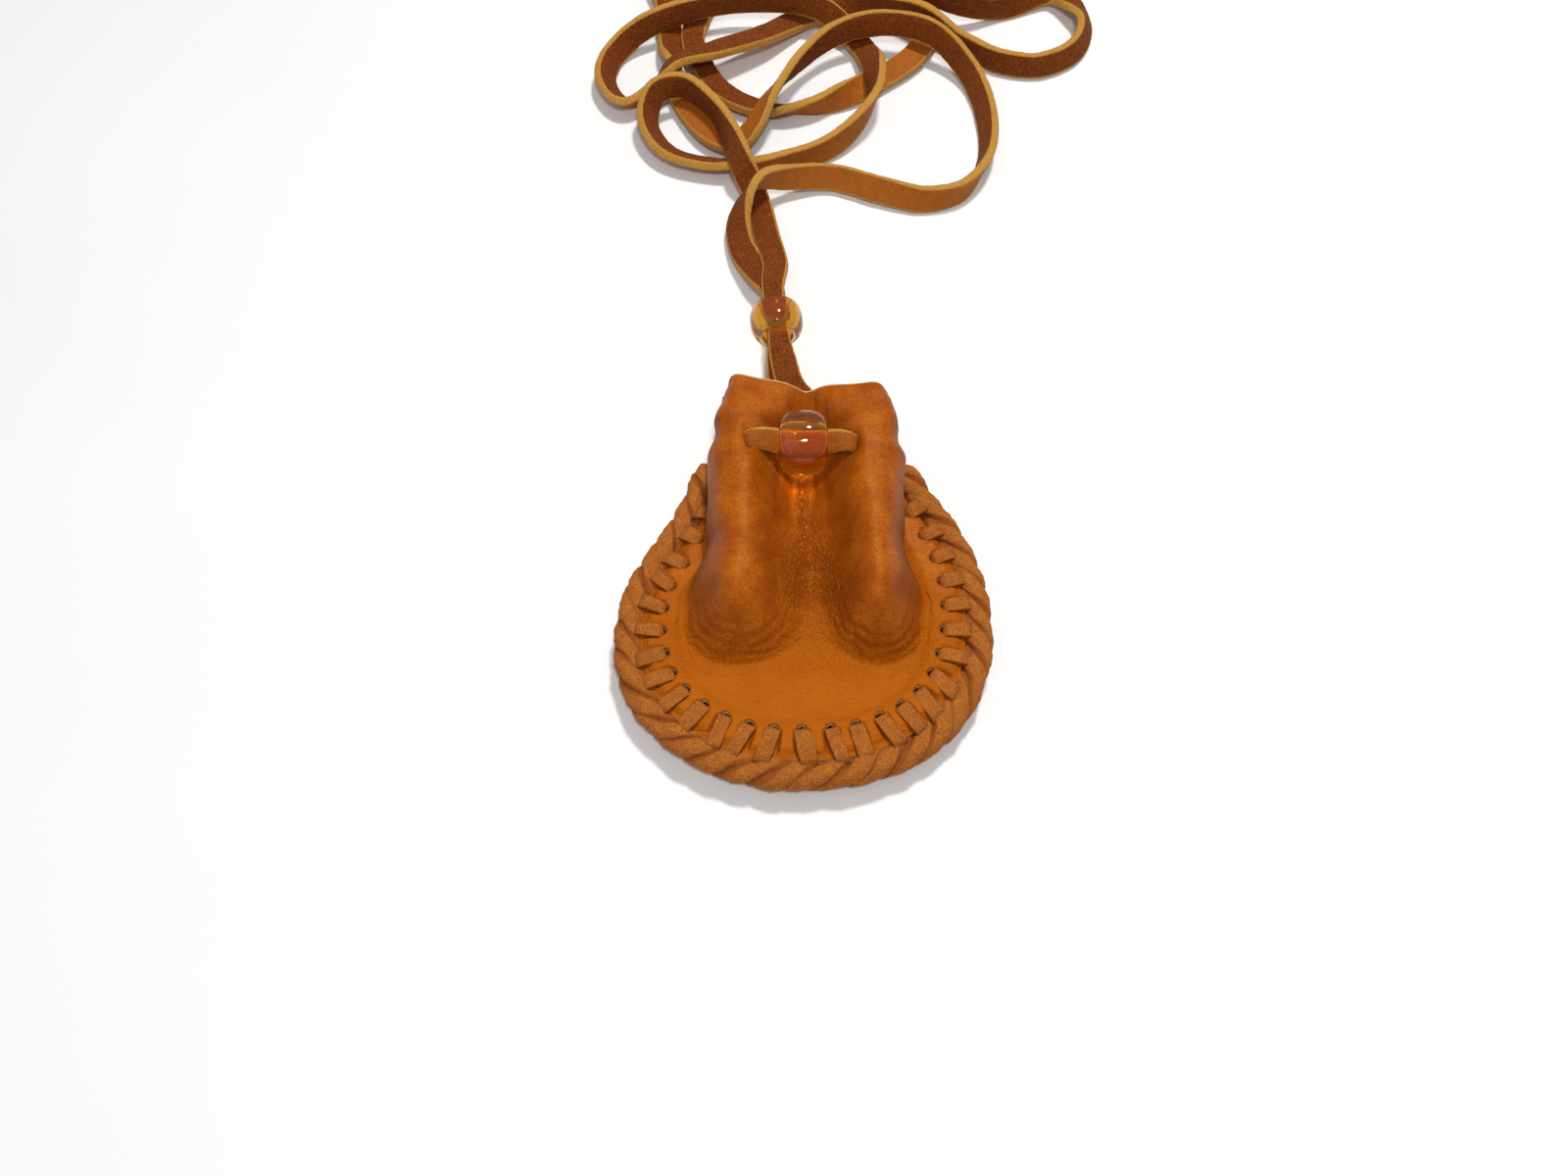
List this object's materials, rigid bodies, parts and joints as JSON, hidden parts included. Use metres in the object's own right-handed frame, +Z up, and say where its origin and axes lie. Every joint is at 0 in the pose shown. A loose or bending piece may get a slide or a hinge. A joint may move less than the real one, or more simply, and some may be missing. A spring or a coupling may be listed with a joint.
{
  "type": "laced leather neck pouch",
  "caption": "Small hand-laced leather neck pouch: gathered front, braided edge, drawstring neck lace with a front bead and a slider bead.",
  "frame": {"origin": "centre of the pouch's footprint on the surface it lies on, without the neck lace", "axes": "+X to the right of the pouch's face, +Y from its rounded bottom to its mouth, +Z up out of its face"},
  "size_m": [0.0843, 0.1773, 0.0169],
  "materials": {
    "grain_leather": "golden tan grain leather, soft sheen",
    "suede_lace": "suede, pinkish tan, matt and fuzzy",
    "neck_lace": "split leather lace: grain outside, suede inside",
    "amber_bead": "transparent amber, glossy"
  },
  "bodies": {
    "pouch": {"back_panel": "grain_leather", "front_panel": "grain_leather", "edge_braid": "suede_lace", "edge_stitch_01": "suede_lace", "edge_stitch_02": "suede_lace", "edge_stitch_03": "suede_lace", "edge_stitch_04": "suede_lace", "edge_stitch_05": "suede_lace", "edge_stitch_06": "suede_lace", "edge_stitch_07": "suede_lace", "edge_stitch_08": "suede_lace", "edge_stitch_09": "suede_lace", "edge_stitch_10": "suede_lace", "edge_stitch_11": "suede_lace", "edge_stitch_12": "suede_lace", "edge_stitch_13": "suede_lace", "edge_stitch_14": "suede_lace", "edge_stitch_15": "suede_lace", "edge_stitch_16": "suede_lace", "edge_stitch_17": "suede_lace", "edge_stitch_18": "suede_lace", "edge_stitch_19": "suede_lace", "edge_stitch_20": "suede_lace", "edge_stitch_21": "suede_lace", "edge_stitch_22": "suede_lace", "edge_stitch_23": "suede_lace", "edge_stitch_24": "suede_lace", "edge_stitch_25": "suede_lace", "edge_stitch_26": "suede_lace", "edge_stitch_27": "suede_lace", "drawstring_front": "neck_lace", "drawstring_left": "neck_lace", "drawstring_right": "neck_lace", "neck_lace_left": "neck_lace", "neck_lace_right": "neck_lace", "neck_knot": "neck_lace", "knot_tail_left": "neck_lace", "knot_tail_right": "neck_lace"},
    "front_bead": {"front_bead": "amber_bead"},
    "slider_bead": {"slider_bead": "amber_bead"}
  },
  "joints": [
    {"name": "slider_bead_slide", "type": "slide", "parent": "pouch", "child": "slider_bead", "axis": [-0.0872, 0.9962, 0], "range_m": [-0.0095, 0.0025]},
    {"name": "front_bead_spin", "type": "hinge", "parent": "pouch", "child": "front_bead", "pos_m": [0.0001, 0.0177, 0.0124], "axis": [1, 0, 0], "continuous": true}
  ]
}
